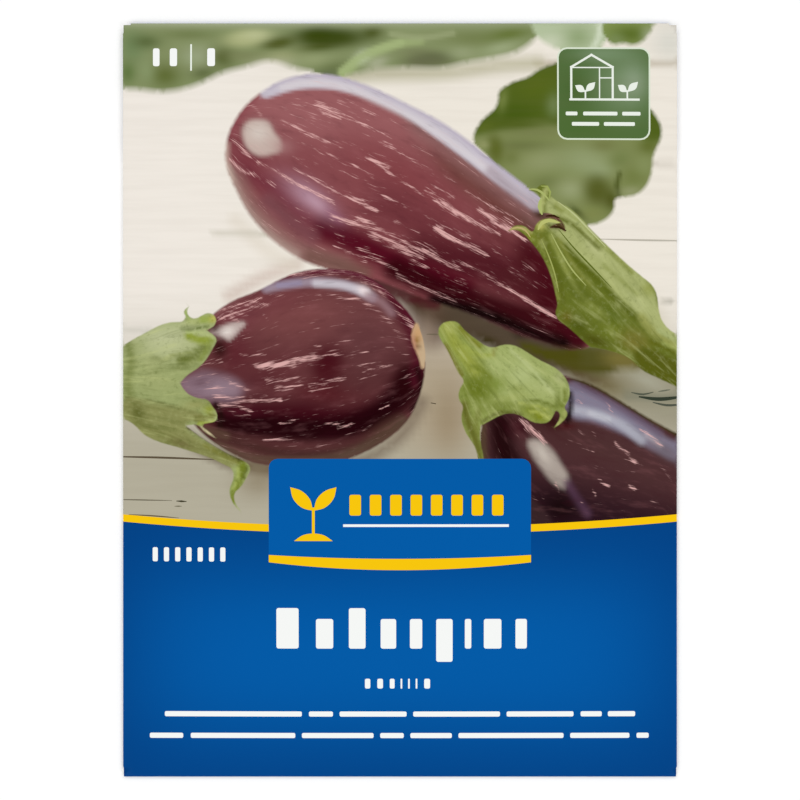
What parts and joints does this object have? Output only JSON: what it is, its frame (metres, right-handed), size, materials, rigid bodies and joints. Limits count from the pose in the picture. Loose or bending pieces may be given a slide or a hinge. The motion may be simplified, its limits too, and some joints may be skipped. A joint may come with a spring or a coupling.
{
  "type": "seed packet",
  "caption": "Flat sealed paper packet of vegetable seeds, folded from one printed sheet and glued at the back, with a heat-sealed foil sachet of seeds inside.",
  "frame": {"origin": "under the packet's middle, on the surface that it lies on", "axes": "+X to the right of the printed front, +Y to the packet's top edge, +Z out of the printed front"},
  "size_m": [0.1176, 0.16, 0.0033],
  "materials": {
    "printed_paper": "coated paper, printed in colour, semi-gloss",
    "glue": "dried packaging glue",
    "foil_laminate": "silver foil laminate, heat sealed",
    "seed_coat": "dry, matt, finely pitted"
  },
  "bodies": {
    "root": {"paper_packet": "printed_paper", "left_seam_glue": "glue", "right_seam_glue": "glue", "top_flap_glue": "glue", "sachet_front_film": "foil_laminate", "sachet_back_film": "foil_laminate", "seed_01": "seed_coat", "seed_02": "seed_coat", "seed_03": "seed_coat", "seed_04": "seed_coat", "seed_05": "seed_coat", "seed_06": "seed_coat", "seed_07": "seed_coat", "seed_08": "seed_coat", "seed_09": "seed_coat", "seed_10": "seed_coat", "seed_11": "seed_coat", "seed_12": "seed_coat", "seed_13": "seed_coat", "seed_14": "seed_coat", "seed_15": "seed_coat"}
  },
  "joints": []
}
